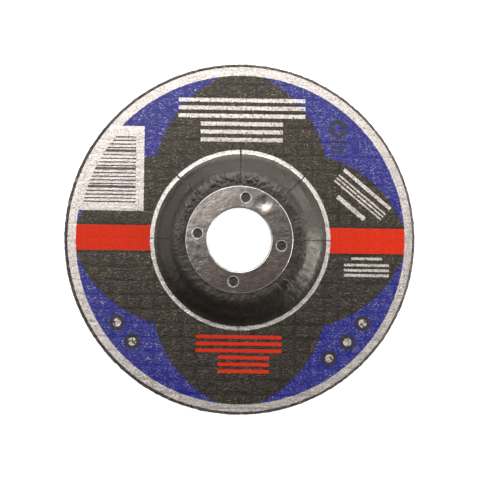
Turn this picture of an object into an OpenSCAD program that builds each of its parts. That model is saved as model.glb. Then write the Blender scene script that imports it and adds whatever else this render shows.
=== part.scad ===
// Grinding disc with a depressed centre, lying on its grinding face.
// The origin is on the bore's axis at the grinding face, +Z points out of the label.

/* [Disc] */
// Outside diameter
disc_d = 125; // [115:1:180]
// Thickness at the rim, from the grinding face to the print
disc_t = 6; // [4.5:0.1:8]
// Rounding of the rim's corner on the label side
rim_round = 0.8; // [0.2:0.1:1.5]
// Rounding of the rim's corner on the grinding side
face_round = 0.5; // [0.1:0.1:1]

/* [Depressed centre] */
// Height of the hub over the label side, and depth of the recess under it
hub_rise = 4.6; // [4:0.1:5.5]
// Radius at which the hub's flat top breaks into its slope
hub_top_r = 23.6; // [22:0.1:25]
// Radius at which the slope meets the flat label
hub_foot_r = 29.5; // [29:0.1:31]
// Radius at which the recess's flat ceiling breaks into its wall
recess_top_r = 23; // [21.5:0.1:24]
// Radius at which the recess's wall meets the grinding face
recess_mouth_r = 29; // [28:0.1:31]
// Rounding of the bends on the label side
hub_bend_r = 3; // [1:0.1:4]
// Rounding of the bends on the grinding side
recess_bend_r = 1.5; // [0.5:0.1:3]

/* [Steel centre ring] */
// Bore for the machine's spindle
bore_d = 22.23; // [20:0.01:25.4]
// Thickness of the ring's sheet
sheet_t = 0.7; // [0.5:0.05:1]
// Outside diameter of the flange
flange_d = 38; // [36.5:0.5:42]
// Rounding where the flange turns down into the bore
lip_r = 0.6; // [0.2:0.1:0.7]
// Rounding of the flange's outer edge
flange_edge_r = 0.2; // [0.05:0.05:0.3]
// How far the ring's lower end stays short of the recess's ceiling
ring_short = 0.4; // [0:0.1:1]
// Gap round the ring in the disc's hole
ring_gap = 0.05; // [0.02:0.01:0.2]
// Number of punched holes that key the flange into the disc
punch_n = 4; // [3:1:6]
// Radius of the circle that the punched holes lie on
punch_circle_r = 15; // [14.8:0.1:15.4]
// Radius of a punched hole
punch_r = 1.5; // [1:0.1:1.6]
// Turn of the first punched hole from the Y axis, clockwise
punch_turn = 8.5; // [0:0.5:45]
// Width of the burnished rim round a punched hole
punch_dish = 0.35; // [0.1:0.05:0.4]
// Wall of the collar that the punch draws down into the disc
collar_t = 0.3; // [0.2:0.05:0.4]
// Depth of that collar under the flange
collar_h = 0.9; // [0.6:0.1:1.5]
// Gap round and under a collar in its pit
pit_gap = 0.1; // [0.05:0.05:0.3]

/* [Glass net] */
// Spacing of the strands
net_pitch = 5; // [5:0.5:8]
// Width of a strand
strand_w = 1.3; // [0.6:0.1:2]
// Thickness of a strand, pressed flat
strand_t = 0.2; // [0.1:0.05:0.4]
// Width of the bare grain left outside the net, and inside it round the bore
net_land = 1.2; // [0.8:0.1:2.5]
// Gap between the net's edges and the grain
net_gap = 0.1; // [0.05:0.05:0.3]

/* [Label] */
// Thickness of the paper
label_t = 0.25; // [0.15:0.05:0.4]
// Thickness of the ink
ink_t = 0.05; // [0.03:0.01:0.1]
// How far the paper stays inside the rim's rounded corner
label_inset = 0.1; // [0:0.1:2]
// Gap between the paper and the ring's tube
label_bore_gap = 0.3; // [0.1:0.1:1]
// Turn of the stuck label from square, clockwise
label_turn = 0.85; // [0:0.05:5]
// Number of cuts that let the paper climb the hub
slit_n = 8; // [4:1:12]
// Width of a cut
slit_w = 0.3; // [0.2:0.05:0.6]
// How far the cuts start under the flange
slit_under = 2; // [0:0.1:2]
// How far the cuts run on past the bare ring
slit_past = 0.6; // [0:0.1:3]

/* [Print] */
// Width of the bare paper margin
margin_w = 3.2; // [2:0.1:6]
// How far the hub's print runs on past the foot of the slope
hub_print_past = 0.1; // [0:0.05:0.5]
// Width of the bare ring round the hub
ring_w = 1.45; // [0.8:0.05:2.5]
// Distance of a corner between two black lobes from both axes, as a share of the print's radius
corner_share = 0.514; // [0.46:0.002:0.54]
// Half width of the upper and lower lobes at the print's edge, as a share of the print's radius
end_v_share = 0.125; // [0.07:0.005:0.17]
// Half width of the left and right lobes at the print's edge, as a share of the print's radius
end_h_share = 0.089; // [0.07:0.001:0.17]
// Radius of the lobes' curved sides, as a share of the print's radius
bulge_share = 0.72; // [0.62:0.01:1]
// Height of the red stripe
stripe_h = 9; // [5:0.5:12]
// Height of the stripe's middle over the centre
stripe_y = 0.3; // [-2:0.1:2]
// Free space between the bare ring and the white panel's straight side, as a share of the field's width
panel_off_share = 0.092; // [0.05:0.002:0.2]
// Free space between the stripe and the panel
panel_gap = 5.1; // [3:0.1:8]
// Height of the panel's upper side over the centre, as a share of the print's radius
panel_high_share = 0.685; // [0.6:0.005:0.75]
// Free space between the bars and the panel's sides, as a share of the field's width
bar_inset_share = 0.11; // [0.05:0.005:0.15]
// Number of bars in the panel
bar_n = 19; // [8:1:24]
// Share of the free height that a thin bar takes of its place
bar_share = 0.36; // [0.2:0.02:0.44]
// Width of the three white lines in the upper lobe, as a share of the print's radius
head_share = 0.77; // [0.4:0.01:0.8]
// Width of the three white lines under them, as a share of the print's radius
subhead_share = 0.5; // [0.2:0.01:0.7]
// Height of each of these two sets of three lines, as a share of the field's width
white_share = 0.266; // [0.15:0.002:0.28]
// Free space between the bare ring and the lower white set, as a share of the field's width
white_off_share = 0.108; // [0.04:0.002:0.14]
// Free space between the two white sets, as a share of the field's width
white_gap_share = 0.054; // [0.03:0.002:0.1]
// Width of the three red lines in the lower lobe, as a share of the print's radius
red_share = 0.522; // [0.2:0.002:0.66]
// Width of the three red lines under them, as a share of the print's radius
red_low_share = 0.314; // [0.15:0.002:0.6]
// How far the lower red set sits right of the middle, as a share of the print's radius
red_shift_share = 0.03; // [0:0.002:0.06]
// Height of each of these two sets of three lines, as a share of the field's width
red_h_share = 0.232; // [0.15:0.002:0.28]
// Free space between the bare ring and the upper red set, as a share of the field's width
red_off_share = 0.066; // [0.04:0.002:0.14]
// Free space between the two red sets, as a share of the field's width
red_gap_share = 0.046; // [0.03:0.002:0.1]
// Width of the three white lines under the stripe, as a share of the print's radius
side_share = 0.274; // [0.1:0.002:0.34]
// Height of those lines, as a share of the field's width
side_h_share = 0.175; // [0.08:0.005:0.22]
// Width of the single white line over them, as a share of the print's radius
side_top_share = 0.188; // [0.1:0.002:0.34]
// Free space between the stripe, that line and the set, as a share of the field's width
side_gap_share = 0.05; // [0.03:0.002:0.08]
// Width of the slanted white block over the stripe, as a share of the print's radius
note_share = 0.37; // [0.2:0.01:0.4]
// Height of that block, as a share of the field's width
note_h_share = 0.39; // [0.2:0.01:0.42]
// Free height between the stripe and the middle of the block, as a share of the print's radius
note_gap_share = 0.18; // [0.16:0.002:0.2]
// Slant of the block
note_turn = 39.5; // [30:0.5:50]
// Radius of the dark spots on the blue corners, as a share of the field's width
spot_share = 0.106; // [0.06:0.002:0.114]
// Pale core of a spot, as a share of the spot's radius
core_share = 0.52; // [0.3:0.02:0.7]
// Distance of the spots' middles from the print's edge, as a share of the field's width
spot_inset_share = 0.22; // [0.16:0.01:0.3]
// Angle between two neighbouring spots
spot_turn = 9.4; // [7:0.1:12]
// Radius of the dark ring on the upper right corner, as a share of the field's width
mark_share = 0.125; // [0.06:0.005:0.13]

/* [Hidden] */
$fn = 96;
eps = 0.01;
bend_steps = 4;

disc_r = disc_d / 2;
bore_r = bore_d / 2;
flange_r = flange_d / 2;
skin_t = label_t + ink_t;
hub_z = disc_t + hub_rise;
flange_z = hub_z + sheet_t;
tube_r = bore_r + sheet_t;
tube_end_z = hub_rise + ring_short;
body_bore_r = tube_r + ring_gap;
collar_r = punch_r + collar_t;
pit_r = collar_r + pit_gap;

net_t = 2 * strand_t;
net_seat_out = disc_r - face_round - net_land;
net_seat_in = body_bore_r + net_land;
net_out = net_seat_out - net_gap;
net_in = net_seat_in + net_gap;

label_r = disc_r - rim_round - label_inset;
label_in = tube_r + label_bore_gap;
slope = atan(hub_rise / (hub_foot_r - hub_top_r));
slope_end_r = hub_foot_r + hub_bend_r * tan(slope / 2);
ring_in_r = slope_end_r + hub_print_past;
ring_out_r = ring_in_r + ring_w;
slit_in_r = flange_r - slit_under;
slit_end_r = ring_out_r + slit_past;
print_r = label_r - margin_w;

// The printed field lies between the bare ring and the print's edge
field_w = print_r - ring_out_r;
lobe_corner = corner_share * print_r;
lobe_r = bulge_share * print_r;
panel_x = ring_out_r + panel_off_share * field_w;
panel_low = stripe_y + stripe_h / 2 + panel_gap;
panel_high = panel_high_share * print_r;
bar_inset = bar_inset_share * field_w;
white_h = white_share * field_w;
subhead_y = ring_out_r + white_off_share * field_w + white_h / 2;
head_y = subhead_y + white_h + white_gap_share * field_w;
red_h = red_h_share * field_w;
red_y = -ring_out_r - red_off_share * field_w - red_h / 2;
red_low_y = red_y - red_h - red_gap_share * field_w;
side_h = side_h_share * field_w;
side_top_h = side_h / 5;
side_gap = side_gap_share * field_w;
side_x = 0.77 * print_r;
side_top_y = stripe_y - stripe_h / 2 - side_gap - side_top_h / 2;
side_y = side_top_y - side_top_h / 2 - side_gap - side_h / 2;
note_at = [0.718 * print_r, stripe_y + stripe_h / 2 + note_gap_share * print_r];
spot_circle_r = print_r - spot_inset_share * field_w;
spot_angles = [214.6, 214.6 + spot_turn, 326.6, 326.6 - spot_turn, 326.6 - 2 * spot_turn];
mark_r = mark_share * field_w;
mark_angle = 49.5;
mark_lines_at = [0.59 * print_r, 0.574 * print_r];

// Corners and bends

function unit(v) = v / norm(v);
function swing(a, b) = (b - a + 540) % 360 - 180;

// Points of an arc of radius r that rounds the corner at b between a and c
function bend(a, b, c, r, n = bend_steps) =
    let (u = unit(a - b), v = unit(c - b), half = acos(u * v) / 2,
         o = b + unit(u + v) * r / sin(half),
         p = b + u * r / tan(half) - o, q = b + v * r / tan(half) - o,
         start = atan2(p[1], p[0]), turn = swing(start, atan2(q[1], q[0])))
    [for (i = [0:n]) o + r * [cos(start + turn * i / n), sin(start + turn * i / n)]];

function lift(line, z) = [for (p = line) p + [0, z]];
function back(line) = [for (i = [len(line) - 1:-1:0]) line[i]];

// The disc's upper and lower lines in section, as [radius, height] from the outside in
function top_line(r_out, r_in) =
    let (foot = [hub_foot_r, disc_t], top = [hub_top_r, hub_z], a = [r_out, disc_t], d = [r_in, hub_z])
    concat([a], bend(a, foot, top, hub_bend_r), bend(foot, top, d, hub_bend_r), [d]);

function face_line(r_out, r_in) =
    let (mouth = [recess_mouth_r, 0], top = [recess_top_r, hub_rise], a = [r_out, 0], d = [r_in, hub_rise])
    concat([a], bend(a, mouth, top, recess_bend_r), bend(mouth, top, d, recess_bend_r), [d]);

module band(line, low, high) {
    rotate_extrude() polygon(concat(lift(line, low), back(lift(line, high))));
}

// Pressed grain

// Section of the disc: rounded rim, seat for the net below, seat for the label on top
function body_section() =
    let (top_z = disc_t - skin_t)
    concat(
        bend([0, 0], [disc_r, 0], [disc_r, top_z], face_round),
        bend([disc_r, 0], [disc_r, top_z], [0, top_z], rim_round),
        lift(top_line(label_r, body_bore_r), -skin_t),
        [[body_bore_r, hub_rise], [net_seat_in, hub_rise]],
        back(lift(face_line(net_seat_out, net_seat_in), net_t)),
        [[net_seat_out, 0]]);

module at_punches() {
    for (i = [0:punch_n - 1])
        rotate(90 - punch_turn + i * 360 / punch_n) translate([punch_circle_r, 0, 0]) children();
}

module abrasive_body() color([0.13, 0.12, 0.11]) difference() {
    rotate_extrude() polygon(body_section());
    at_punches() translate([0, 0, hub_z - collar_h - pit_gap]) cylinder(r = pit_r, h = collar_h + skin_t);
}

// Glass net: two layers of flat strands that follow the grinding face into the recess

module strands(turn) {
    reach = floor(net_out / net_pitch);
    rotate(turn) for (i = [-reach:reach])
        translate([-disc_r, i * net_pitch - strand_w / 2, -1]) cube([disc_d, strand_w, hub_z]);
}

module net_layer(low, turn) intersection() {
    band(face_line(net_out, net_in), low, low + strand_t);
    strands(turn);
}

module net_warp() color([0.42, 0.33, 0.2]) net_layer(0, 90);
module net_weft() color([0.38, 0.3, 0.18]) net_layer(strand_t, 0);

// Steel ring: flange on the label, tube down the bore, punched holes with drawn collars

function ring_section() =
    let (edge = [flange_r, flange_z], lip = [bore_r, flange_z], chamfer = sheet_t / 3)
    concat(
        [[tube_r, hub_z], [flange_r, hub_z]],
        bend([flange_r, hub_z], edge, lip, flange_edge_r),
        bend(edge, lip, [bore_r, tube_end_z], lip_r),
        [[bore_r, tube_end_z + chamfer], [bore_r + chamfer, tube_end_z], [tube_r, tube_end_z]]);

module centre_ring() color([0.62, 0.6, 0.57]) difference() {
    union() {
        rotate_extrude() polygon(ring_section());
        at_punches() translate([0, 0, hub_z - collar_h]) cylinder(r = collar_r, h = collar_h + sheet_t / 2);
    }
    at_punches() {
        translate([0, 0, hub_z - collar_h - eps]) cylinder(r = punch_r, h = collar_h + sheet_t);
        translate([0, 0, flange_z - punch_dish])
            cylinder(r1 = punch_r, r2 = punch_r + punch_dish + eps, h = punch_dish + eps);
    }
}

// Paper label: follows the hub, with star cuts, and seats the flange

module cuts() {
    for (i = [0:slit_n - 1]) rotate(i * 360 / slit_n)
        translate([slit_in_r, -slit_w / 2, disc_t - 2 * skin_t])
            cube([slit_end_r - slit_in_r, slit_w, hub_rise + 3 * skin_t]);
}

// What passes through the label and its print on the hub
module hub_openings() {
    cuts();
    rotate(label_turn) at_punches() translate([0, 0, disc_t]) cylinder(r = pit_r, h = hub_rise + 1);
}

module turned() rotate(-label_turn) children();

module label_paper() color([0.86, 0.84, 0.81]) turned() difference() {
    band(top_line(label_r, label_in), -skin_t, -ink_t);
    hub_openings();
}

module print_hub() color([0.09, 0.09, 0.09]) turned() difference() {
    band(top_line(ring_in_r, label_in), -ink_t, 0);
    hub_openings();
}

// Fields of print on the flat label

module ink(colour) color(colour) turned() difference() {
    translate([0, 0, disc_t - ink_t]) linear_extrude(ink_t) children();
    cuts();
}

module print_area() difference() {
    circle(r = print_r);
    circle(r = ring_out_r);
}

// One lobe points along +X: the space between two arcs that end at the print's edge
module lobe(end) {
    corner = [lobe_corner, lobe_corner];
    tip = [sqrt(print_r * print_r - end * end), end];
    half = norm(tip - corner) / 2;
    u = unit(tip - corner);
    o = (tip + corner) / 2 + [u[1], -u[0]] * sqrt(lobe_r * lobe_r - half * half);
    intersection() {
        translate([o[0], o[1]]) circle(r = lobe_r);
        translate([o[0], -o[1]]) circle(r = lobe_r);
    }
}

module lobes() for (side = [0, 1]) {
    rotate(180 * side) lobe(end_h_share * print_r);
    rotate(90 + 180 * side) lobe(end_v_share * print_r);
}

module stripe() translate([-disc_r, stripe_y - stripe_h / 2]) square([disc_d, stripe_h]);

module panel() translate([-disc_r, panel_low]) square([disc_r - panel_x, panel_high - panel_low]);

module line(w, h, at) translate([at[0] - w / 2, at[1] - h / 2]) square([w, h]);

// Three even lines with even gaps, w wide and h high over all, about a middle point
module lines(w, h, at) for (i = [-1:1]) line(w, h / 5, at + [0, 2 * i * h / 5]);

module red_lines() {
    lines(red_share * print_r, red_h, [0, red_y]);
    lines(red_low_share * print_r, red_h, [red_shift_share * print_r, red_low_y]);
}

// A thick line, three thin ones and a short thick one
module note(w, h) {
    line(w, 0.12 * h, [0, 0.44 * h]);
    lines(w, 0.3 * h, [0, 0.06 * h]);
    line(0.58 * w, 0.15 * h, [0, -0.42 * h]);
}

// Lines left white in the fields of ink
module white_lines() {
    lines(head_share * print_r, white_h, [0, head_y]);
    lines(subhead_share * print_r, white_h, [0, subhead_y]);
    line(side_top_share * print_r, side_top_h, [side_x, side_top_y]);
    lines(side_share * print_r, side_h, [side_x, side_y]);
    translate(note_at) rotate(-note_turn) note(note_share * print_r, note_h_share * field_w);
}

module bars() {
    step = (panel_high - panel_low - 2 * bar_inset) / bar_n;
    for (i = [0:bar_n - 1])
        translate([-disc_r, panel_low + bar_inset + i * step])
            square([disc_r - panel_x - bar_inset, step * bar_share * (1 + (i * i + 2 * i) % 5 % 3)]);
}

module at_spots(angles) for (a = angles) rotate(a) translate([spot_circle_r, 0]) children();

// Dark marks on the blue corners: spots with a pale core, a ring and three short lines under it
module spot_discs() at_spots(spot_angles) circle(r = spot_share * field_w);

module mark() {
    at_spots([mark_angle]) difference() {
        circle(r = mark_r);
        circle(r = mark_r / 2);
    }
    lines(1.7 * mark_r, 1.4 * mark_r, mark_lines_at);
}

module spot_marks() {
    difference() {
        spot_discs();
        at_spots(spot_angles) circle(r = spot_share * core_share * field_w);
    }
    mark();
}

module print_black() ink([0.2, 0.19, 0.18]) difference() {
    intersection() { print_area(); lobes(); }
    stripe();
    panel();
    white_lines();
    red_lines();
}

module print_blue() ink([0.17, 0.17, 0.55]) difference() {
    print_area();
    lobes();
    stripe();
    panel();
    white_lines();
    spot_discs();
    mark();
}

module print_stripe() ink([0.87, 0.2, 0.1]) intersection() { print_area(); stripe(); }

module print_bars() ink([0.3, 0.28, 0.27]) intersection() {
    circle(r = print_r - bar_inset / 3);
    bars();
}

module print_red_lines() ink([0.87, 0.2, 0.1]) red_lines();

module print_spots() ink([0.11, 0.11, 0.2]) spot_marks();

abrasive_body();
net_warp();
net_weft();
centre_ring();
label_paper();
print_hub();
print_black();
print_blue();
print_stripe();
print_bars();
print_red_lines();
print_spots();
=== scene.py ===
import math
import bpy
import bmesh
from mathutils import Matrix, Vector, noise


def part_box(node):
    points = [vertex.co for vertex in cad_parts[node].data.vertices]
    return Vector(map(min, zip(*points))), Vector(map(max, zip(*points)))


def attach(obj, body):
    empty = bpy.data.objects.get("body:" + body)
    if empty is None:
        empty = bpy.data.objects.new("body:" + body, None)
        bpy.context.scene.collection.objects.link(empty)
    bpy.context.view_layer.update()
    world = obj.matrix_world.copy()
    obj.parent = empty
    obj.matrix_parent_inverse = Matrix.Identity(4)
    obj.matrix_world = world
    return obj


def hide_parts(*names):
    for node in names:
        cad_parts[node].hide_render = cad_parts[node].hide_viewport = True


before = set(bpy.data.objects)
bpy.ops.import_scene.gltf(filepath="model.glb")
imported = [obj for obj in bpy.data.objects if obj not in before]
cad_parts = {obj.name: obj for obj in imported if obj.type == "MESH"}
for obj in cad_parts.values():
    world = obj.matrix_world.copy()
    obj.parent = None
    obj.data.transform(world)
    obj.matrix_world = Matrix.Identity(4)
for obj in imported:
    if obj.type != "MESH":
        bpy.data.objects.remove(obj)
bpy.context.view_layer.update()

mm = 0.001

# Sizes that every piece shares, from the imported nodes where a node's box gives them
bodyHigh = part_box("abrasive_body")[1]
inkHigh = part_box("print_black")[1]
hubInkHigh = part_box("print_hub")[1]
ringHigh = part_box("centre_ring")[1]
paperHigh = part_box("label_paper")[1]

disc = {
    "rimR": bodyHigh.x,
    "boreR": 11.865 * mm,            # hole in the grain
    "labelTop": inkHigh.z,
    "hubTop": hubInkHigh.z,
    "rise": hubInkHigh.z - inkHigh.z,
    "skin": hubInkHigh.z - bodyHigh.z,
    "hubBreakR": 23.6 * mm,
    "hubFootR": 29.5 * mm,
    "browBend": 7.0 * mm,
    "footBend": 6.5 * mm,
    "recessBreakR": 23.0 * mm,
    "recessMouthR": 29.0 * mm,
    "recessBend": 1.5 * mm,
    "flangeR": ringHigh.x,
    "netPitch": 5.0 * mm,
    "labelTurn": math.radians(0.85),  # clockwise, seen from above
}


# Profiles: points are (radius, height) in a section through the axis

# Arc of radius r that rounds the corner at b on the way from a to c
def bend(a, b, c, r, steps=7):
    a, b, c = Vector(a), Vector(b), Vector(c)
    u, v = (a - b).normalized(), (c - b).normalized()
    half = u.angle(v) / 2
    centre = b + (u + v).normalized() * r / math.sin(half)
    start = b + u * r / math.tan(half) - centre
    end = b + v * r / math.tan(half) - centre
    first = math.atan2(start.y, start.x)
    sweep = (math.atan2(end.y, end.x) - first + 3 * math.pi) % (2 * math.pi) - math.pi
    return [centre + Vector((math.cos(first + sweep * i / steps), math.sin(first + sweep * i / steps))) * r
            for i in range(steps + 1)]


# Label side from the rim inwards, lifted by a height
def topLine(rOut, rIn, lift=0.0):
    low, high = disc["labelTop"] + lift, disc["hubTop"] + lift
    foot, brow = (disc["hubFootR"], low), (disc["hubBreakR"], high)
    a, d = (rOut, low), (rIn, high)
    bends = bend(a, foot, brow, disc["footBend"]) + bend(foot, brow, d, disc["browBend"])
    return [Vector(a)] + bends + [Vector(d)]


# Grinding side from the rim inwards
def faceLine(rOut, rIn, lift=0.0):
    mouth, brow = (disc["recessMouthR"], lift), (disc["recessBreakR"], disc["rise"] + lift)
    a, d = (rOut, lift), (rIn, disc["rise"] + lift)
    bends = bend(a, mouth, brow, disc["recessBend"]) + bend(mouth, brow, d, disc["recessBend"])
    return [Vector(a)] + bends + [Vector(d)]


# The same line in short pieces; step gives their length at a radius
def divided(points, step):
    out = [Vector(points[0])]
    for a, b in zip(points, points[1:]):
        n = max(1, round((b - a).length / step((a.x + b.x) / 2)))
        out += [a.lerp(b, i / n) for i in range(1, n + 1)]
    return out


# A section spun in a few wide steps, then cut finer between them and pushed back out to its circles
def spun(points, steps, finer, startAngle=0.0, closed=False):
    bm = bmesh.new()
    verts = [bm.verts.new((p.x, 0, p.y)) for p in points]
    edges = [bm.edges.new(pair) for pair in zip(verts, verts[1:])]
    if closed:
        edges.append(bm.edges.new((verts[-1], verts[0])))
    bmesh.ops.spin(bm, geom=verts + edges, cent=(0, 0, 0), axis=(0, 0, 1), angle=2 * math.pi, steps=steps,
                   use_merge=True)
    same = 1e-7
    around = [e for e in bm.edges if abs(e.verts[0].co.z - e.verts[1].co.z) < same
              and abs(e.verts[0].co.xy.length - e.verts[1].co.xy.length) < same]
    bmesh.ops.subdivide_edges(bm, edges=around, cuts=finer - 1, use_grid_fill=True)
    wide = 2 * math.pi / steps
    for v in bm.verts:
        turn = math.atan2(v.co.y, v.co.x) % (2 * math.pi)
        sector = math.floor(turn / wide + 1e-6)
        off = turn - (sector + 0.5) * wide
        share = 0.5 + math.tan(off) / math.tan(wide / 2) / 2
        r = v.co.xy.length * math.cos(off) / math.cos(wide / 2)
        a = startAngle + (sector + share) * wide
        v.co.x, v.co.y = r * math.cos(a), r * math.sin(a)
    return bm


def finished(bm, name, material, smooth=True):
    bmesh.ops.recalc_face_normals(bm, faces=bm.faces)
    mesh = bpy.data.meshes.new(name)
    bm.to_mesh(mesh)
    bm.free()
    mesh.polygons.foreach_set("use_smooth", [smooth] * len(mesh.polygons))
    mesh.materials.append(material)
    piece = bpy.data.objects.new(name, mesh)
    bpy.context.scene.collection.objects.link(piece)
    return piece


# 1 at the centre, falling off to 0 beyond the width
def hill(x, centre, width):
    return math.exp(-((x - centre) / width) ** 2)


def angleFrom(a, b):
    return (a - b + math.pi) % (2 * math.pi) - math.pi


# Node helpers

def newMaterial(name):
    material = bpy.data.materials.new(name)
    material.use_nodes = True
    return material, material.node_tree, material.node_tree.nodes["Principled BSDF"]


def calc(tree, operation, *values, clamp=False):
    node = tree.nodes.new("ShaderNodeMath")
    node.operation = operation
    node.use_clamp = clamp
    for socket, value in zip(node.inputs, values):
        if isinstance(value, (int, float)):
            socket.default_value = value
        else:
            tree.links.new(value, socket)
    return node.outputs[0]


def mixColor(tree, factor, a, b):
    node = tree.nodes.new("ShaderNodeMix")
    node.data_type = "RGBA"
    for socket, value in ((node.inputs[0], factor), (node.inputs[6], a), (node.inputs[7], b)):
        if isinstance(value, (int, float)):
            socket.default_value = value
        elif isinstance(value, tuple):
            socket.default_value = (*value, 1)
        else:
            tree.links.new(value, socket)
    return node.outputs[2]


def noiseOf(tree, vector, scale, detail=2.0, roughness=0.5, stretch=None, output="Fac"):
    if stretch:
        mapping = tree.nodes.new("ShaderNodeMapping")
        mapping.inputs["Scale"].default_value = stretch
        tree.links.new(vector, mapping.inputs["Vector"])
        vector = mapping.outputs[0]
    node = tree.nodes.new("ShaderNodeTexNoise")
    node.inputs["Scale"].default_value = scale
    node.inputs["Detail"].default_value = detail
    node.inputs["Roughness"].default_value = roughness
    tree.links.new(vector, node.inputs["Vector"])
    return node.outputs[output]


def stepUp(tree, value, low, high):
    node = tree.nodes.new("ShaderNodeMapRange")
    node.inputs["From Min"].default_value = low
    node.inputs["From Max"].default_value = high
    tree.links.new(value, node.inputs["Value"])
    return node.outputs[0]


def bumpOf(tree, height, distance, strength=1.0):
    node = tree.nodes.new("ShaderNodeBump")
    node.inputs["Strength"].default_value = strength
    node.inputs["Distance"].default_value = distance
    tree.links.new(height, node.inputs["Height"])
    return node.outputs[0]


# Object coordinates in millimetres, turned about the axis
def millimetres(tree, turn=0.0):
    coords = tree.nodes.new("ShaderNodeTexCoord")
    mapping = tree.nodes.new("ShaderNodeMapping")
    mapping.inputs["Scale"].default_value = (1 / mm, 1 / mm, 1 / mm)
    mapping.inputs["Rotation"].default_value = (0, 0, turn)
    tree.links.new(coords.outputs["Object"], mapping.inputs["Vector"])
    return mapping.outputs[0]


def firstTwo(tree, vector):
    split = tree.nodes.new("ShaderNodeSeparateXYZ")
    tree.links.new(vector, split.inputs[0])
    return split.outputs[0], split.outputs[1]


# Short forms of the math node for one tree; a mask is 1 where it holds and 0 elsewhere
def mathsFor(tree):
    def c(operation, *values, clamp=False):
        return calc(tree, operation, *values, clamp=clamp)

    def both(*masks):
        out = masks[0]
        for mask in masks[1:]:
            out = c("MULTIPLY", out, mask)
        return out

    def either(*masks):
        out = masks[0]
        for mask in masks[1:]:
            out = c("MAXIMUM", out, mask)
        return out

    def less(a, b):
        return c("LESS_THAN", a, b)

    def length(a, b):
        return c("SQRT", c("ADD", c("MULTIPLY", a, a), c("MULTIPLY", b, b)))

    return c, both, either, less, length


# Paper label and its print

labelSet = {
    "outerR": paperHigh.x,
    "innerR": disc["boreR"] + 0.35 * mm,
    "steps": 60,
    "finer": 8,                       # columns in a step; a cut is one column wide
    "hubStep": 0.4 * mm,
    "flatStep": 0.95 * mm,
    "shift": (0.08 * mm, 0.02 * mm),  # how far off centre the paper sits
    "shiftOver": 4.0 * mm,            # width of the band round the flange in which it gets there
    "glue": 0.04 * mm,
    "cuts": 8,
    # how far each cut has closed, from the right on round; below 0 it gapes
    "closed": (0.2, 0.0, -0.45, -0.5, 0.25, 0.85, 0.35, 0.8),
    "closedUneven": 0.9,
    "closedRange": (-0.8, 0.95),
    "cutFrom": 17.0 * mm,
    "cutTo": 32.6 * mm,
    "lipAt": 0.12 * mm,               # the lifted lips along the cuts
    "lipWidth": 0.5 * mm,
    "lipHeight": 0.03 * mm,
    "netDepth": 0.03 * mm,
    "grainHeight": 0.05 * mm,
    "flatWave": 0.03 * mm,
    "edgeZone": 3.0 * mm,
    "edgeWave": 0.12 * mm,
    "edgeBack": 0.26 * mm,
    "edgeShort": 0.12 * mm,           # how much shorter the paper is on its left side
    "edgeShortAngle": 187,
    "edgeShortSpread": 0.95,
    "slack": ((0.13 * mm, 0.2), (0.05 * mm, 0.55)),  # height and scale of each wave in the film
    # patches of the hub; angle is the middle in degrees, spread is in radians, around is how fine it is
    "blisters": {"angle": 100, "spread": 1.05, "r": 21.7 * mm, "width": 1.6 * mm, "height": 0.7 * mm,
                 "around": 19},
    "pleats": {"angle": 100, "spread": 1.05, "r": 22.6 * mm, "width": 2.4 * mm, "height": 0.08 * mm,
               "around": 30, "seed": 8.0},
    "crease": {"angle": -46, "spread": 0.2, "r": 22.6 * mm, "width": 2.2 * mm, "height": 0.4 * mm,
               "around": 24, "seed": 3.0},
    "streaks": {"angle": -14, "spread": 0.42, "r": 25.5 * mm, "width": 3.6 * mm, "height": 0.2 * mm,
                "around": 15, "seed": 6.0},
}

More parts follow.
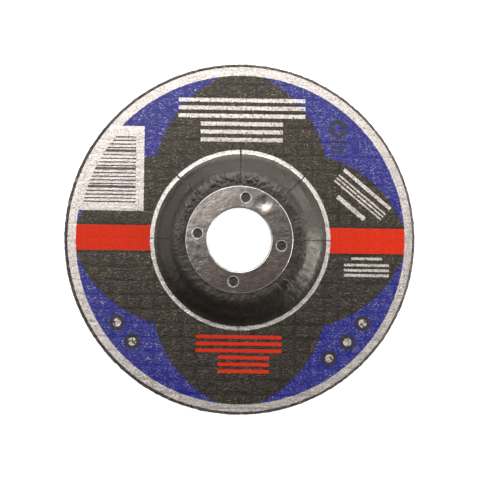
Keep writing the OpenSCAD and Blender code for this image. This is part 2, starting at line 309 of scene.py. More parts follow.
printSet = {                      # millimetres
    "shift": (0.27, -0.18),       # how far off centre the print sits
    "ragged": 0.6,
    "printR": 58.4,
    "ringIn": 30.62,
    "ringOut": 32.05,
    "lobeCorner": 30.0,
    "lobeEndV": 7.3,
    "lobeEndH": 5.2,
    "lobeR": 42.0,
    "stripeH": 9.0,
    "stripeY": 0.3,
    "panelX": -34.5,
    "panelLow": 9.9,
    "panelHigh": 40.0,
    "barInset": 2.9,
    "barCount": 19,
    "barShare": 0.36,
    "spotR": 2.79,
    "coreR": 1.45,
    "spotRing": 52.6,
    "spotAngles": (214.6, 224.0, 326.6, 317.2, 307.8),
    "markR": 3.29,
    "markAngle": 49.5,
    "markLines": ((34.4, 33.5), 5.6, 4.6, 0, 5),
    # middle, width, height, turn and number of stripes, every second one of which is printed
    "whiteLines": (((0, 46.87), 45, 7.0, 0, 5), ((0, 38.42), 29.2, 7.0, 0, 5), ((45, -6.0), 11, 0.9, 0, 1),
                   ((45, -10.1), 16, 4.6, 0, 5), ((44.81, 18.72), 21.6, 1.23, -39.5, 1),
                   ((42.32, 15.79), 21.6, 3.08, -39.5, 5), ((39.19, 11.99), 12.5, 1.54, -39.5, 1)),
    "redLines": (((0, -36.87), 30.5, 6.1, 0, 5), ((1.75, -44.18), 18.3, 6.1, 0, 5)),
    "paper": (0.745, 0.68, 0.635),
    "speck": (0.26, 0.21, 0.175),
    "silver": 0.85,
    "roughness": 0.36,
    "inkSmoother": 0.05,
    "gloss": 0.5,
    "redGloss": 0.1,
    "filmGloss": 0.85,
    "filmRoughness": 0.38,
    "wornSilver": 2.4,
    "sheen": (1.0, 0.90, 0.80),
    "black": (0.011, 0.0093, 0.0075),
    "blackFleck": (0.28, 0.23, 0.178),
    "blue": (0.005, 0.009, 0.19),
    "blueFleck": (0.41, 0.40, 0.56),
    "red": (0.615, 0.028, 0.009),
    "redFleck": (0.69, 0.06, 0.03),
    "bars": (0.09, 0.08, 0.077),
    "spots": (0.03, 0.027, 0.035),
    "hub": (0.013, 0.0105, 0.0085),
    "hubDust": (0.12, 0.10, 0.085),
    # scales of the textures, and the heights of the relief
    "fineScale": 1.55,
    "glintScale": 1.8,
    "clusterScale": 0.42,
    "creaseScale": 0.55,
    "speckScale": 2.1,
    "coarseScale": 0.35,
    "wornScale": 1.3,
    "dustScale": 2.4,
    "leatherHeight": 0.155,
    "coarseHeight": 0.04,
    "puckerHeight": 0.16,
    "filmHeight": 0.035,
}


# Number of the nearest cut, and the angle from it
def nearestCut(x, y):
    between = 2 * math.pi / labelSet["cuts"]
    a = math.atan2(y, x) + disc["labelTurn"]
    cut = round(a / between)
    return cut, angleFrom(a, cut * between)


# 1 in the middle of a patch, falling off to 0 round it
def inPatch(patch, r, a):
    off = angleFrom(a, math.radians(patch["angle"]))
    return hill(off, 0, patch["spread"]) * hill(r, patch["r"], patch["width"])


def ridges(patch, r, a):
    place = Vector((a * patch["around"], r / mm * 0.3, patch["seed"]))
    return patch["height"] * inPatch(patch, r, a) * noise.noise(place)


def hubRelief(p, r, a):
    s = labelSet
    out = sum(height * noise.noise(p * scale) for height, scale in s["slack"])
    blisters = s["blisters"]
    nearest = noise.voronoi(Vector((a * blisters["around"], r / mm * 0.95, 0)))[0][0]
    out += blisters["height"] * inPatch(blisters, r, a) * max(0.0, 1 - 2.0 * nearest)
    return out + ridges(s["pleats"], r, a) + max(0.0, ridges(s["crease"], r, a)) + ridges(s["streaks"], r, a)


# The net's strands show through as shallow lines that come and go, and end short of the rim
def flatRelief(p, x, y, r):
    s = labelSet
    pitch = disc["netPitch"]
    cell = min(abs(math.sin(math.pi * x / pitch)), abs(math.sin(math.pi * y / pitch)))
    shows = min(1.0, max(0.0, (s["outerR"] - r) / mm / 3 - 0.6))
    shows *= min(1.0, max(0.1, 0.55 + 1.6 * noise.noise(p * 0.11)))
    out = -s["netDepth"] * shows * (1 - cell) ** 3
    out += s["grainHeight"] * cell * noise.noise(p * 0.9)
    return out + s["flatWave"] * noise.noise(p * 0.12)


def labelHeight(x, y, z):
    s = labelSet
    r, a = math.hypot(x, y), math.atan2(y, x)
    if r < disc["flangeR"] + 0.1 * mm:
        return 0.0
    p = Vector((x, y, z)) / mm
    onHub = r < disc["hubFootR"] + 1.2 * mm
    out = hubRelief(p, r, a) if onHub else flatRelief(p, x, y, r)
    if r < s["cutTo"] + 0.5 * mm:
        toCut = abs(nearestCut(x, y)[1]) * r
        out += s["lipHeight"] * hill(toCut, s["lipAt"], s["lipWidth"]) * abs(noise.noise(p * 0.7))
    return out


def makeLabel(material):
    s = labelSet
    hubEnd = s["cutTo"] + 0.6 * mm
    line = divided(topLine(s["outerR"], s["innerR"]), lambda r: s["hubStep"] if r < hubEnd else s["flatStep"])
    step = 2 * math.pi / (s["steps"] * s["finer"])
    bm = spun(line, s["steps"], s["finer"], -step / 2 - disc["labelTurn"])
    gone = []
    for face in bm.faces:
        middle = face.calc_center_median()
        if s["cutFrom"] < middle.xy.length < s["cutTo"] and abs(nearestCut(middle.x, middle.y)[1]) < step / 2:
            gone.append(face)
    bmesh.ops.delete(bm, geom=gone, context="FACES")
    for v in bm.verts:
        x, y, z = v.co
        r = math.hypot(x, y)
        v.co.z += labelHeight(x, y, z)
        cut, off = nearestCut(x, y)
        if s["cutFrom"] < r < s["cutTo"] and abs(off) < step * 0.6:
            uneven = s["closedUneven"] * noise.noise(Vector((r / mm * 0.9, cut, 0)))
            least, most = s["closedRange"]
            closed = min(most, max(least, s["closed"][cut % s["cuts"]] + uneven))
            x, y = Matrix.Rotation(-off * closed, 2) @ Vector((x, y))
        nearRim = max(0.0, (r - s["outerR"] + s["edgeZone"]) / s["edgeZone"])
        onLeft = hill(angleFrom(math.atan2(y, x), math.radians(s["edgeShortAngle"])), 0, s["edgeShortSpread"])
        wave = s["edgeWave"] * (noise.noise(Vector((x, y, 0)) / mm * 0.9) - 0.6)
        ragged = 1 + nearRim * (wave - s["edgeBack"] - s["edgeShort"] * onLeft) / r
        away = min(1.0, max(0.0, (r - disc["flangeR"]) / s["shiftOver"]))
        v.co.x = x * ragged + s["shift"][0] * away
        v.co.y = y * ragged + s["shift"][1] * away
    for edge in bm.edges:
        edge.smooth = not edge.is_boundary
    label = finished(bm, "printedLabel", material)
    wall = label.modifiers.new("paperThickness", "SOLIDIFY")
    wall.thickness = disc["skin"] - s["glue"]
    wall.offset = -1
    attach(label, "root")
    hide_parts("label_paper", "print_hub", "print_black", "print_blue", "print_stripe", "print_bars",
                "print_red_lines", "print_spots")


# Masks of the print over the label's own x and y; worn and broken are textures that wear it off
def printMasks(tree, x, y, worn, broken):
    s = printSet
    c, both, either, less, length = mathsFor(tree)
    r = length(x, y)

    # One arm of the black field, from the corner it shares with the next one to its narrow end at the rim
    def lobe(endHalf, along, across):
        tip = Vector((math.sqrt(s["printR"] ** 2 - endHalf ** 2), endHalf))
        corner = Vector((s["lobeCorner"], s["lobeCorner"]))
        u = (tip - corner).normalized()
        back = math.sqrt(s["lobeR"] ** 2 - (tip - corner).length_squared / 4)
        centre = (tip + corner) / 2 + Vector((u.y, -u.x)) * back
        far = length(c("SUBTRACT", along, centre.x), c("SUBTRACT", across, centre.y))
        return stepUp(tree, c("SUBTRACT", s["lobeR"], far), -0.3, 0.3)

    def lines(at, w, h, turn, count):
        dx, dy = c("SUBTRACT", x, at[0]), c("SUBTRACT", y, at[1])
        cosT, sinT = math.cos(math.radians(turn)), math.sin(math.radians(turn))
        along = c("ADD", c("MULTIPLY", dx, cosT), c("MULTIPLY", dy, sinT))
        up = c("SUBTRACT", c("MULTIPLY", dy, cosT), c("MULTIPLY", dx, sinT))
        block = both(less(c("ABSOLUTE", along), w / 2), less(c("ABSOLUTE", up), h / 2))
        if count == 1:
            return block
        return both(block, less(c("FRACT", c("DIVIDE", c("ADD", up, h / 2), 2 * h / count)), 0.5))

    def fromSpot(angle):
        a = math.radians(angle)
        atX, atY = s["spotRing"] * math.cos(a), s["spotRing"] * math.sin(a)
        return length(c("SUBTRACT", x, atX), c("SUBTRACT", y, atY))

    absX, absY = c("ABSOLUTE", x), c("ABSOLUTE", y)
    whiteLines = either(*[lines(*one) for one in s["whiteLines"]])

    # Bars of three widths that take turns
    barStep = (s["panelHigh"] - s["panelLow"] - 2 * s["barInset"]) / s["barCount"]
    place = c("DIVIDE", c("SUBTRACT", y, s["panelLow"] + s["barInset"]), barStep)
    number = c("FLOOR", place)
    kind = c("MODULO", c("MODULO", c("ADD", c("MULTIPLY", number, number), c("MULTIPLY", number, 2)), 5), 3)
    barWidth = c("MULTIPLY", c("ADD", kind, 1), s["barShare"])
    bars = both(less(c("FRACT", place), barWidth), less(0, place), less(place, s["barCount"]),
                less(x, s["panelX"] - s["barInset"]), less(r, s["printR"] - s["barInset"] / 3))

    spots = [fromSpot(a) for a in s["spotAngles"]]
    cores = either(*[less(far, s["coreR"]) for far in spots])
    toMark = fromSpot(s["markAngle"])
    mark = either(both(less(s["markR"] / 2, toMark), less(toMark, s["markR"])), lines(*s["markLines"]))
    return {
        "onFlat": both(less(s["ringOut"], r), less(r, s["printR"])),
        "hub": less(r, s["ringIn"]),
        "lobes": either(lobe(s["lobeEndH"], absX, absY), lobe(s["lobeEndV"], absY, absX)),
        "stripe": less(c("ABSOLUTE", c("SUBTRACT", y, s["stripeY"])), s["stripeH"] / 2),
        "panel": both(less(x, s["panelX"]), less(s["panelLow"], y), less(y, s["panelHigh"])),
        "bars": bars,
        "whiteLines": both(whiteLines, stepUp(tree, worn, 0.3, 0.42)),
        "redLines": either(*[lines(*one) for one in s["redLines"]]),
        "spots": either(*[less(far, s["spotR"]) for far in spots]),
        "cores": both(cores, stepUp(tree, broken, 0.36, 0.5)),
        "mark": both(mark, stepUp(tree, worn, 0.3, 0.48)),
    }


def labelMaterial():
    s = printSet
    material, tree, shader = newMaterial("printedPaper")
    c, both, either = mathsFor(tree)[:3]
    vector = millimetres(tree, disc["labelTurn"])

    def texture(scale, detail=2, roughness=0.5, stretch=None):
        return noiseOf(tree, vector, scale, detail=detail, roughness=roughness, stretch=stretch)

    cleanX, cleanY = firstTwo(tree, vector)
    raggedX, raggedY = firstTwo(tree, noiseOf(tree, vector, 2.2, detail=3, output="Color"))
    x = c("ADD", cleanX, c("MULTIPLY", c("SUBTRACT", raggedX, 0.5), s["ragged"]))
    y = c("ADD", cleanY, c("MULTIPLY", c("SUBTRACT", raggedY, 0.5), s["ragged"]))
    x, y = c("SUBTRACT", x, s["shift"][0]), c("SUBTRACT", y, s["shift"][1])
    m = printMasks(tree, x, y, texture(s["wornScale"], roughness=0.6), texture(1.1))

    # Grain under the paper: rough in the meshes of the net, smooth over its strands
    pitch = disc["netPitch"] / mm
    cellX = c("ABSOLUTE", c("SINE", c("MULTIPLY", x, math.pi / pitch)))
    cellY = c("ABSOLUTE", c("SINE", c("MULTIPLY", y, math.pi / pitch)))
    uneven = c("MULTIPLY", texture(0.13, detail=3), 1.3)
    cell = stepUp(tree, c("ADD", c("MINIMUM", cellX, cellY), uneven), 0.6, 1.15)
    fine = texture(s["fineScale"], detail=3, roughness=0.7, stretch=(0.75, 1.3, 1))
    glints = stepUp(tree, texture(s["glintScale"], detail=1, stretch=(0.9, 1.2, 1)), 0.58, 0.68)
    clusters = stepUp(tree, texture(s["clusterScale"]), 0.35, 0.65)
    creases = stepUp(tree, texture(s["creaseScale"], detail=3, stretch=(0.16, 1.5, 1)), 0.58, 0.7)
    flecks = c("MULTIPLY", stepUp(tree, fine, 0.48, 0.70), 0.57)
    flecks = c("ADD", flecks, c("MULTIPLY", both(glints, clusters), 0.7))
    flecks = c("MULTIPLY", flecks, c("ADD", 0.5, c("MULTIPLY", cell, 0.5)))
    flecks = c("SUBTRACT", flecks, c("MULTIPLY", creases, 0.2), clamp=True)
    specks = stepUp(tree, texture(s["speckScale"], detail=3, roughness=0.65), 0.48, 0.7)
    coarse = texture(s["coarseScale"], detail=3)

    paperColor = mixColor(tree, specks, s["paper"], s["speck"])
    blackColor = mixColor(tree, flecks, s["black"], s["blackFleck"])
    blueColor = mixColor(tree, c("MULTIPLY", flecks, c("ADD", flecks, 0.35)), s["blue"], s["blueFleck"])
    redColor = mixColor(tree, c("MULTIPLY", flecks, 0.5), s["red"], s["redFleck"])
    dust = both(stepUp(tree, texture(s["dustScale"], roughness=0.6), 0.62, 0.74), clusters)

    ink = mixColor(tree, m["lobes"], blueColor, blackColor)
    ink = mixColor(tree, either(m["spots"], m["mark"]), ink, s["spots"])
    ink = mixColor(tree, either(m["redLines"], m["stripe"]), ink, redColor)
    notFlat, notStripe = c("SUBTRACT", 1, m["onFlat"]), c("SUBTRACT", 1, m["stripe"])
    bare = either(notFlat, m["panel"], m["cores"], both(m["whiteLines"], notStripe))
    color = mixColor(tree, bare, ink, paperColor)
    color = mixColor(tree, both(m["bars"], m["panel"]), color, s["bars"])
    color = mixColor(tree, m["hub"], color, mixColor(tree, dust, s["hub"], s["hubDust"]))
    tree.links.new(color, shader.inputs["Base Color"])

    # Bare paper has a silvery coat, and shows through where the ink is worn thin
    onBlack = c("ADD", 0.4, c("MULTIPLY", m["lobes"], 0.6))
    worn = c("MULTIPLY", c("MULTIPLY", flecks, s["wornSilver"]), onBlack, clamp=True)
    redInk = both(either(m["stripe"], m["redLines"]), m["onFlat"])
    silver = c("MAXIMUM", c("MULTIPLY", bare, s["silver"]), both(worn, c("SUBTRACT", 1, redInk)))
    tree.links.new(both(silver, c("SUBTRACT", 1, m["hub"])), shader.inputs["Metallic"])
    flatRough = c("ADD", s["roughness"], c("MULTIPLY", c("SUBTRACT", coarse, 0.5), 0.15))
    flatRough = c("SUBTRACT", flatRough, c("MULTIPLY", c("SUBTRACT", 1, bare), s["inkSmoother"]))
    hubRough = c("ADD", s["filmRoughness"], c("MULTIPLY", c("SUBTRACT", texture(0.5, detail=3), 0.5), 0.3))
    tree.links.new(mixColor(tree, m["hub"], flatRough, hubRough), shader.inputs["Roughness"])
    gloss = c("ADD", s["gloss"], c("MULTIPLY", m["hub"], s["filmGloss"] - s["gloss"]))
    gloss = c("SUBTRACT", gloss, c("MULTIPLY", redInk, s["gloss"] - s["redGloss"]))
    tree.links.new(gloss, shader.inputs["Specular IOR Level"])
    shader.inputs["Specular Tint"].default_value = (*s["sheen"], 1)

    # Leathery skin over the grain, and slack puckered film on the hub
    leather = c("MULTIPLY", c("SUBTRACT", fine, 0.22), s["leatherHeight"])
    flatHeight = c("ADD", leather, c("MULTIPLY", coarse, s["coarseHeight"]))
    flatHeight = c("MULTIPLY", flatHeight, c("ADD", 0.5, c("MULTIPLY", cell, 0.5)))
    puckers = c("MULTIPLY", texture(0.75, detail=3, roughness=0.55), s["puckerHeight"])
    hubHeight = c("ADD", puckers, c("MULTIPLY", fine, s["filmHeight"]))
    tree.links.new(bumpOf(tree, mixColor(tree, m["hub"], flatHeight, hubHeight), mm), shader.inputs["Normal"])
    return material


# Pressed grain body

bodySet = {
    "steps": 60,
    "finer": 12,
    "landW": 1.2 * mm,            # plain land between the net and the edges of the face
    "netGap": 0.1 * mm,
    "fill": 0.22 * mm,            # how high the grain fills the meshes of the net, from the face
    "rimRound": 0.8 * mm,
    "faceRound": 0.5 * mm,
    "rimRough": 0.35 * mm,
    "faceRough": 0.16 * mm,
    "faceFine": 0.06 * mm,
    # longest pieces of the section
    "rimStep": 0.45 * mm,
    "topStep": 3.5 * mm,
    "boreStep": 1.0 * mm,
    "faceStep": 0.9 * mm,
    "darkGrain": (0.022, 0.019, 0.017),
    "lightGrain": (0.075, 0.062, 0.05),
    "glint": (0.23, 0.19, 0.15),
    "dust": (0.10, 0.09, 0.08),
    "grainScale": 1.35,
    "grainHeight": 0.35 * mm,
}


def makeBody(material):
    s, d = bodySet, disc
    topZ = d["labelTop"] - d["skin"]
    netOut = d["rimR"] - s["faceRound"] - s["landW"]
    netIn = d["boreR"] + s["landW"]
    low = bend((0, 0), (d["rimR"], 0), (d["rimR"], topZ), s["faceRound"], 4)
    high = bend((d["rimR"], 0), (d["rimR"], topZ), (0, topZ), s["rimRound"], 5)
    rim = divided(low + high, lambda r: s["rimStep"])
    topLand = topLine(d["rimR"] - s["rimRound"] - 0.2 * mm, d["boreR"], -d["skin"])
    over = divided(topLand, lambda r: s["topStep"])
    boreEnds = [Vector((d["boreR"], d["hubTop"] - d["skin"])), Vector((d["boreR"], d["rise"]))]
    bore = divided(boreEnds, lambda r: s["boreStep"])
    under = divided(faceLine(netOut, netIn, s["fill"]), lambda r: s["faceStep"])
    section = rim + over + bore[1:] + [Vector((netIn, d["rise"]))] + under[::-1] + [Vector((netOut, 0))]
    bm = spun(section, s["steps"], s["finer"], closed=True)
    for v in bm.verts:
        x, y, z = v.co
        r = math.hypot(x, y)
        p = v.co / mm
        onRim = min(1.0, max(0.0, (r - d["rimR"] + 1.6 * mm) / (1.2 * mm)))
        rough = 0.5 + 0.5 * noise.noise(p * 0.75) + 0.35 * noise.noise(p * 1.9)
        pull = 1 - onRim * s["rimRough"] * max(0.0, rough) / r
        v.co.x, v.co.y = x * pull, y * pull
        facing = v.normal.z < -0.3 or z < 0.8 * mm
        if facing and r < d["rimR"] - 0.6 * mm and z > 0.01 * mm:
            v.co.z += s["faceRough"] * noise.noise(p * 0.8) + s["faceFine"] * noise.noise(p * 2.1)
    body = finished(bm, "grainBody", material)
    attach(body, "root")
    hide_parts("abrasive_body")


def grainMaterial():
    s = bodySet
    material, tree, shader = newMaterial("pressedGrain")
    vector = millimetres(tree)
    grains = tree.nodes.new("ShaderNodeTexVoronoi")
    grains.inputs["Scale"].default_value = s["grainScale"]
    tree.links.new(vector, grains.inputs["Vector"])
    value = tree.nodes.new("ShaderNodeSeparateColor")
    tree.links.new(grains.outputs["Color"], value.inputs[0])
    dust = noiseOf(tree, vector, 0.25, detail=4)
    color = mixColor(tree, value.outputs[0], s["darkGrain"], s["lightGrain"])
    color = mixColor(tree, stepUp(tree, value.outputs[1], 0.86, 0.97), color, s["glint"])
    color = mixColor(tree, stepUp(tree, dust, 0.5, 0.8), color, s["dust"])
    tree.links.new(color, shader.inputs["Base Color"])
    rough = calc(tree, "ADD", 0.42, calc(tree, "MULTIPLY", value.outputs[2], 0.35))
    tree.links.new(rough, shader.inputs["Roughness"])
    dome = calc(tree, "SUBTRACT", 1, grains.outputs["Distance"])
    height = calc(tree, "ADD", dome, calc(tree, "MULTIPLY", noiseOf(tree, vector, 3.5, detail=3), 0.35))
    tree.links.new(bumpOf(tree, height, s["grainHeight"], 0.9), shader.inputs["Normal"])
    return material


# Glass net: flat strands that pass over and under one another along the grinding face

netSet = {
    "pitch": disc["netPitch"],
    "width": 1.3 * mm,
    "thick": 0.18 * mm,
    "depth": 0.4 * mm,            # both layers
    "outR": disc["rimR"] - bodySet["faceRound"] - bodySet["landW"] - bodySet["netGap"],
    "inR": disc["boreR"] + bodySet["landW"] + bodySet["netGap"],
    "perPitch": 4,
    "rounded": 0.4,               # bevel of a strand's edges, as a share of its thickness
    "sway": 0.12 * mm,
    "resin": (0.15, 0.10, 0.045),
    "fibre": (0.34, 0.26, 0.15),
    "stain": (0.045, 0.036, 0.028),
    "fibreHeight": 0.08 * mm,
}


# Height of the grinding face at a radius
def faceHeight(r):
    s = netSet
    line = faceLine(s["outR"], s["inR"])
    for a, b in zip(line, line[1:]):
        if b.x <= r <= a.x:
            return a.lerp(b, (a.x - r) / max(a.x - b.x, 1e-9)).y
    return line[0].y if r > s["outR"] else line[-1].y


# Where a strand at this distance from the axis starts and ends; the bore parts the middle ones
def strandRuns(offset):
    s = netSet
    reach = math.sqrt(max(s["outR"] ** 2 - (abs(offset) + s["width"] / 2) ** 2, 0))
    if abs(offset) >= s["inR"]:
        return [(-reach, reach)]
    gap = math.sqrt(s["inR"] ** 2 - max(abs(offset) - s["width"] / 2, 0) ** 2)
    return [(-reach, -gap), (gap, reach)]


def makeNet(name, node, turned, material):
    s = netSet
    bm = bmesh.new()
    count = int(s["outR"] / s["pitch"])
    for i in range(-count, count + 1):
        for start, end in strandRuns(i * s["pitch"]):
            strand = bmesh.ops.create_cube(bm, size=1)["verts"]
            bmesh.ops.scale(bm, vec=(end - start, s["width"], s["thick"]), verts=strand)
            bmesh.ops.translate(bm, vec=((start + end) / 2, i * s["pitch"], 0), verts=strand)

    def alongStrands():
        return [e for e in bm.edges if abs(e.verts[0].co.x - e.verts[1].co.x) > 2 * s["width"]]

    bmesh.ops.bevel(bm, geom=alongStrands(), offset=s["thick"] * s["rounded"], segments=2, profile=0.5,
                    affect="EDGES", material=-1)
    bySteps = {}
    for edge in alongStrands():
        bySteps.setdefault(max(2, round(edge.calc_length() / s["pitch"] * s["perPitch"])), []).append(edge)
    for steps, edges in bySteps.items():
        bmesh.ops.subdivide_edges(bm, edges=edges, cuts=steps - 1, use_grid_fill=True)
    for v in bm.verts:
        t, w, h = v.co
        i = round(w / s["pitch"])
        over = math.cos(math.pi * (t / s["pitch"] + i + (1 if turned else 0)))
        sway = s["sway"] * noise.noise(Vector((t / mm * 0.15, i * 3.7, 1.0 if turned else 5.0)))
        middle = faceHeight(math.hypot(t, i * s["pitch"])) + s["depth"] / 2
        v.co = (t, w + sway, middle + over * (s["depth"] - s["thick"]) / 2 + h)
    if turned:
        bmesh.ops.rotate(bm, matrix=Matrix.Rotation(math.pi / 2, 3, "Z"), verts=bm.verts)
    net = finished(bm, name, material)
    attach(net, "root")
    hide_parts(node)


def glassMaterial(name, turned):
    s = netSet
    material, tree, shader = newMaterial(name)
    vector = millimetres(tree)
    fibres = noiseOf(tree, vector, 1.0, detail=3, stretch=(9, 0.6, 9) if turned else (0.6, 9, 9))
    stain = noiseOf(tree, vector, 0.3, detail=3)
    color = mixColor(tree, fibres, s["resin"], s["fibre"])
    color = mixColor(tree, stepUp(tree, stain, 0.5, 0.72), color, s["stain"])
    tree.links.new(color, shader.inputs["Base Color"])
    tree.links.new(calc(tree, "ADD", 0.3, calc(tree, "MULTIPLY", fibres, 0.3)), shader.inputs["Roughness"])
    tree.links.new(bumpOf(tree, fibres, s["fibreHeight"], 0.8), shader.inputs["Normal"])
    return material


# Steel centre ring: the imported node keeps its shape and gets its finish

steelSet = {                      # millimetres
    "holeCircle": 15.0,
    "holeTurn": 8.5,
    "rimFrom": 1.8,
    "rimTo": 2.1,
    "lipR": 11.7,
    "edgeR": 18.75,
    "dish": 0.0014,               # the flange falls off outwards by this times its radius squared
    # the colour round this dent is a painted highlight
    "dent": (8.7, 12.4, 3.0, 0.42),  # place, radius and depth of a pressed spot
    "wave": 0.25,                 # heights of the relief
    "brush": 0.02,
    "cross": 0.012,
    "pitting": 0.02,
    "metal": (0.29, 0.26, 0.233),
    # the dull colour is both random tarnish and painted shade towards the lower right
    "dullAndShade": (0.17, 0.13, 0.112),
    # the polished colour is both brush marks and worn edges, and a painted highlight round the dent
    "polishedAndHighlight": (0.76, 0.71, 0.66),
    "grime": (0.12, 0.10, 0.09),
    "roughness": 0.24,
    # how much the tarnish and the painted shade towards the lower right dull the metal
    "tarnishAndShadeMatt": 0.28,
}


def steelMaterial():
    s = steelSet
    material, tree, shader = newMaterial("brushedSteel")
    c, both, either, less, length = mathsFor(tree)
    vector = millimetres(tree)
    x, y = firstTwo(tree, vector)
    r = length(x, y)
    turn = math.radians(s["holeTurn"])
    cosT, sinT = math.cos(turn), math.sin(turn)
    turnedX = c("ABSOLUTE", c("SUBTRACT", c("MULTIPLY", x, cosT), c("MULTIPLY", y, sinT)))
    turnedY = c("ABSOLUTE", c("ADD", c("MULTIPLY", x, sinT), c("MULTIPLY", y, cosT)))
    outward = c("SUBTRACT", c("MAXIMUM", turnedX, turnedY), s["holeCircle"])
    toHole = length(outward, c("MINIMUM", turnedX, turnedY))
    rims = both(less(s["rimFrom"], toHole), less(toHole, s["rimTo"]))
    edges = either(less(r, s["lipR"]), less(s["edgeR"], r))

    brushed = noiseOf(tree, vector, 1.0, detail=4, roughness=0.7, stretch=(0.5, 6.0, 1.0))
    crossed = noiseOf(tree, vector, 1.0, detail=2, stretch=(4.0, 0.7, 1.0))
    grain = noiseOf(tree, vector, 2.6, detail=2)
    stain = noiseOf(tree, vector, 0.16, detail=4, roughness=0.6)
    wave = noiseOf(tree, vector, 0.22, detail=2)

    # Tarnish in random stains, and painted shade that darkens the steel and dulls its metal towards the lower
    # right; bright on the brush marks and the edges, with a painted highlight round the dent
    # painted shade: a gradient that darkens the lower right
    paintedShadeLowRight = c("MULTIPLY", c("SUBTRACT", c("MULTIPLY", x, 0.5), y), 0.011)
    tarnishAndShade = stepUp(tree, c("ADD", stain, paintedShadeLowRight), 0.44, 0.66)
    color = mixColor(tree, tarnishAndShade, s["metal"], s["dullAndShade"])
    color = mixColor(tree, c("MULTIPLY", stepUp(tree, grain, 0.42, 0.66), 0.65), color, s["grime"])
    color = mixColor(tree, c("MULTIPLY", stepUp(tree, brushed, 0.53, 0.7), 0.55), color, s["polishedAndHighlight"])
    dentX, dentY, dentR, dentDepth = s["dent"]
    fromDent = length(c("SUBTRACT", x, dentX), c("SUBTRACT", y, dentY))
    nearDent = stepUp(tree, c("MULTIPLY", fromDent, -1), -dentR, -0.3)
    # painted highlight: the polished colour round the dent
    paintedDentHighlight = both(nearDent, stepUp(tree, grain, 0.3, 0.6))
    worn = c("MULTIPLY", either(rims, edges), 0.8)
    color = mixColor(tree, either(paintedDentHighlight, worn), color, s["polishedAndHighlight"])
    tree.links.new(color, shader.inputs["Base Color"])
    # the painted shade also makes the lower right less metallic
    tree.links.new(c("SUBTRACT", 1, c("MULTIPLY", tarnishAndShade, s["tarnishAndShadeMatt"])), shader.inputs["Metallic"])
    tree.links.new(c("ADD", s["roughness"], c("MULTIPLY", stain, 0.16)), shader.inputs["Roughness"])

    height = c("ADD", c("MULTIPLY", brushed, s["brush"]), c("MULTIPLY", crossed, s["cross"]))
    height = c("ADD", height, c("MULTIPLY", grain, s["pitting"]))
    height = c("ADD", height, c("MULTIPLY", wave, s["wave"]))
    height = c("ADD", height, c("MULTIPLY", c("MULTIPLY", r, r), -s["dish"]))
    bowl = c("SMOOTH_MIN", c("DIVIDE", fromDent, dentR), 1.0, 0.4)
    height = c("ADD", height, c("MULTIPLY", bowl, dentDepth))
    tree.links.new(bumpOf(tree, height, mm), shader.inputs["Normal"])
    return material


def dressRing():
    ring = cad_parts["centre_ring"]
    ring.data.materials.clear()
    ring.data.materials.append(steelMaterial())


# Floor, light and camera

viewSet = {
    "height": 0.70,               # of the camera above the grinding face
    "discPixels": 350.4,          # width of the disc in the frame
    "framePixels": 480,
    "centrePixel": (239.4, 239.6),
    "sensor": 36.0,
    "floorSize": 2.5,
    "floorColor": (0.85, 0.85, 0.85, 1),
    "floorGlow": 0.9,
    "air": (1.0, 0.92, 0.86, 1),
    "airLight": 0.008,
}

# place, width and height of the pane in metres, and watts; each one faces the disc
lampSet = {
    "northWindow": ((0.02, 0.40, 0.50), (0.5, 0.36), 2.25),
    "northStrip": ((0.0, 0.48, 0.11), (1.6, 0.12), 1.85),
    "northBox": ((-0.06, 0.26, 0.60), (0.24, 0.06), 0.44),
    "eastStrip": ((0.42, -0.09, 0.16), (0.28, 0.2), 1.38),
    "northEastStrip": ((0.38, 0.24, 0.12), (0.2, 0.12), 0.35),
    "westStrip": ((-0.43, 0.02, 0.13), (0.5, 0.12), 0.34),
    "eastBox": ((0.34, 0.06, 0.46), (0.15, 0.2), 0.44),
    "westBox": ((-0.32, 0.06, 0.46), (0.15, 0.2), 0.38),
    "highBox": ((-0.14, 0.10, 0.60), (0.08, 0.08), 0.3),
}


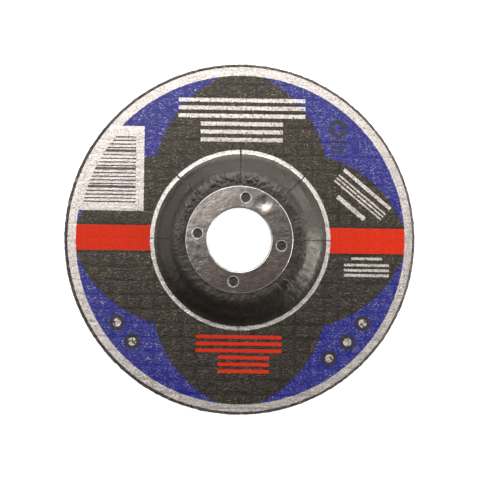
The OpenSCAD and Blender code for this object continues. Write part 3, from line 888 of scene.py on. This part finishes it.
# The floor glows for the camera and in reflections only, so it lights nothing
def makeFloor():
    s = viewSet
    bm = bmesh.new()
    bmesh.ops.create_grid(bm, x_segments=8, y_segments=8, size=s["floorSize"])
    material, tree, shader = newMaterial("whiteFloor")
    shader.inputs["Base Color"].default_value = s["floorColor"]
    shader.inputs["Roughness"].default_value = 0.9
    path = tree.nodes.new("ShaderNodeLightPath")
    seen = calc(tree, "MAXIMUM", path.outputs["Is Camera Ray"], path.outputs["Is Glossy Ray"])
    seen = calc(tree, "MAXIMUM", seen, path.outputs["Is Transmission Ray"])
    shader.inputs["Emission Color"].default_value = (1, 1, 1, 1)
    tree.links.new(calc(tree, "MULTIPLY", seen, s["floorGlow"]), shader.inputs["Emission Strength"])
    floor = finished(bm, "floor", material, smooth=False)


def makeLamp(name, at, size, power):
    data = bpy.data.lights.new(name, "AREA")
    data.shape = "RECTANGLE"
    data.size, data.size_y = size
    data.energy = power
    lamp = bpy.data.objects.new(name, data)
    lamp.location = at
    lamp.rotation_euler = (-Vector(at)).to_track_quat("-Z", "Y").to_euler()
    bpy.context.scene.collection.objects.link(lamp)


def makeAir():
    world = bpy.data.worlds.new("studio")
    world.use_nodes = True
    background = world.node_tree.nodes["Background"]
    background.inputs[0].default_value = viewSet["air"]
    background.inputs[1].default_value = viewSet["airLight"]
    bpy.context.scene.world = world


def makeCamera():
    s = viewSet
    data = bpy.data.cameras.new("camera")
    camera = bpy.data.objects.new("camera", data)
    pixel = 2 * disc["rimR"] / s["discPixels"]
    half = s["framePixels"] / 2
    right, down = s["centrePixel"]
    camera.location = ((half - right) * pixel, (down - half) * pixel, s["height"])
    data.sensor_width = s["sensor"]
    data.lens = s["sensor"] * (s["height"] - disc["labelTop"] / 2) / (s["framePixels"] * pixel)
    data.clip_start = 0.01
    bpy.context.scene.collection.objects.link(camera)
    bpy.context.scene.camera = camera


makeCamera()
makeFloor()
for name, lamp in lampSet.items():
    makeLamp(name, *lamp)
makeAir()
bpy.context.scene.view_settings.view_transform = "Standard"
print("stage ready", flush=True)

makeBody(grainMaterial())
print("grain body made", flush=True)
makeLabel(labelMaterial())
print("label made", flush=True)
makeNet("netWarp", "net_warp", True, glassMaterial("warpGlass", True))
makeNet("netWeft", "net_weft", False, glassMaterial("weftGlass", False))
print("glass net made", flush=True)
dressRing()
print("steel ring dressed", flush=True)
